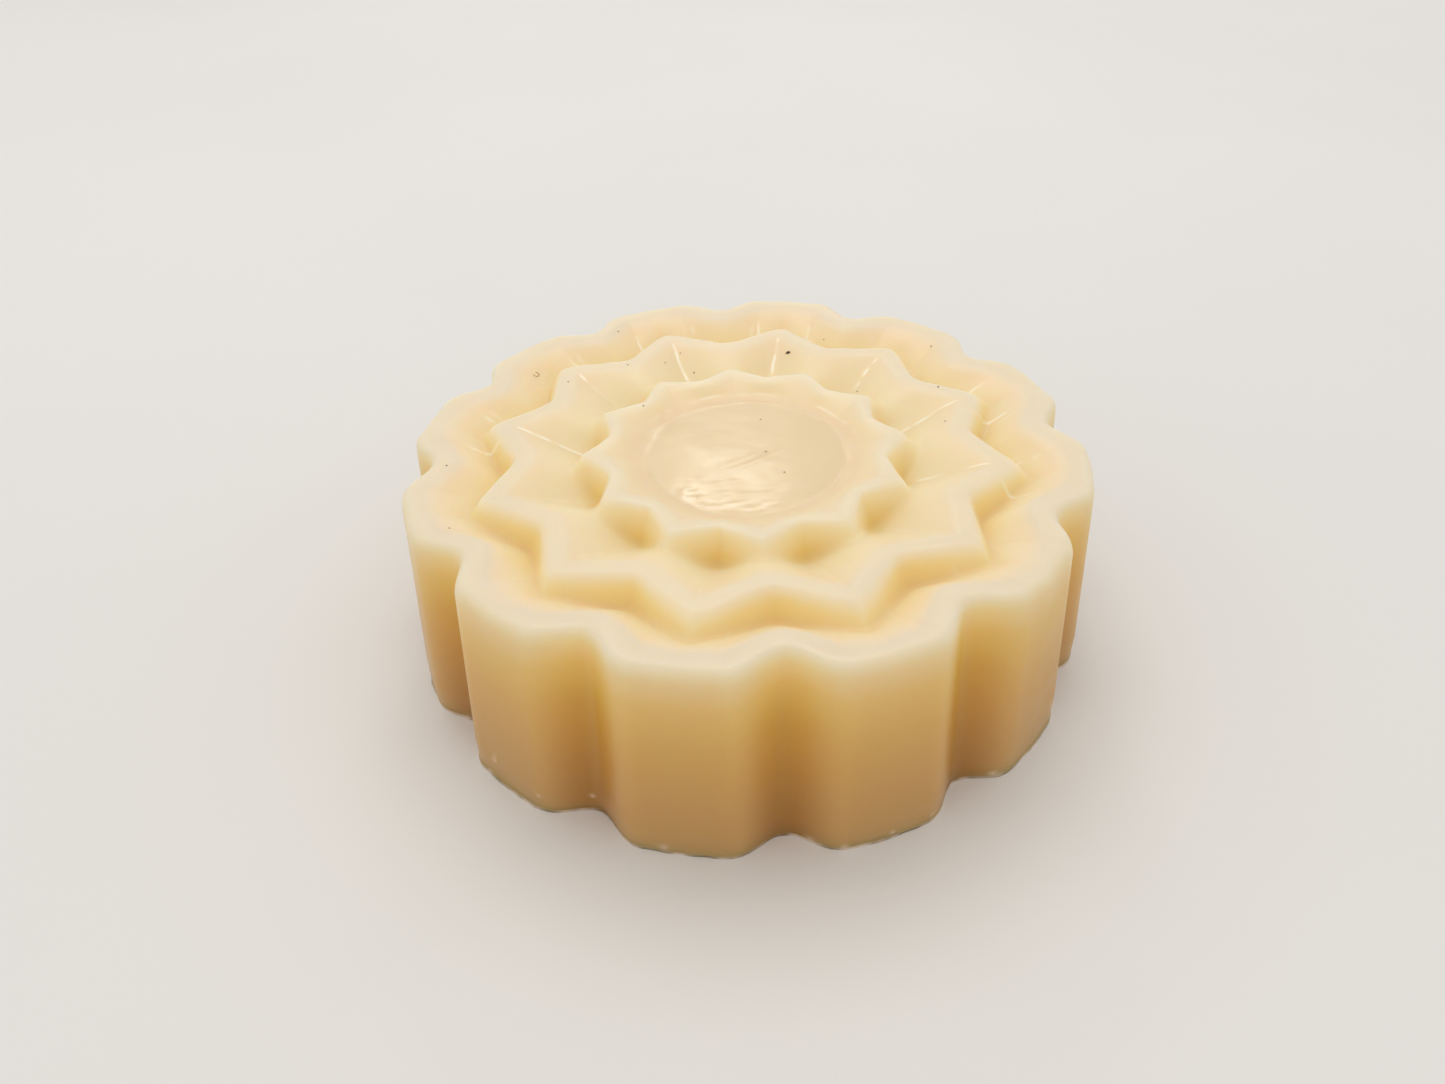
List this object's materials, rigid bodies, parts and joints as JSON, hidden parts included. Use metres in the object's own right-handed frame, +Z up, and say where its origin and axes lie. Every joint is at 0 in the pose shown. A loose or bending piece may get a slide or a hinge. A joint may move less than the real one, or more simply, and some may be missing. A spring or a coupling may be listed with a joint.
{
  "type": "shaving soap puck",
  "caption": "Round poured cake of hard shaving soap with a scalloped side wall, a stepped flower relief on top, a shallow centre disc and a flat underside.",
  "frame": {"origin": "centre of the flat underside", "axes": "+Z up, out of the relief; a lobe of the scalloped wall points along +Y, and another along +X"},
  "size_m": [0.0792, 0.0792, 0.0239],
  "materials": {
    "soap": "waxy translucent soap, satin with soft highlights",
    "speck": "matte dark grain",
    "fibre": "matte plant fibre"
  },
  "bodies": {
    "root": {"soap_body": "soap", "dark_specks": "speck", "curled_fibre": "fibre"}
  },
  "joints": []
}
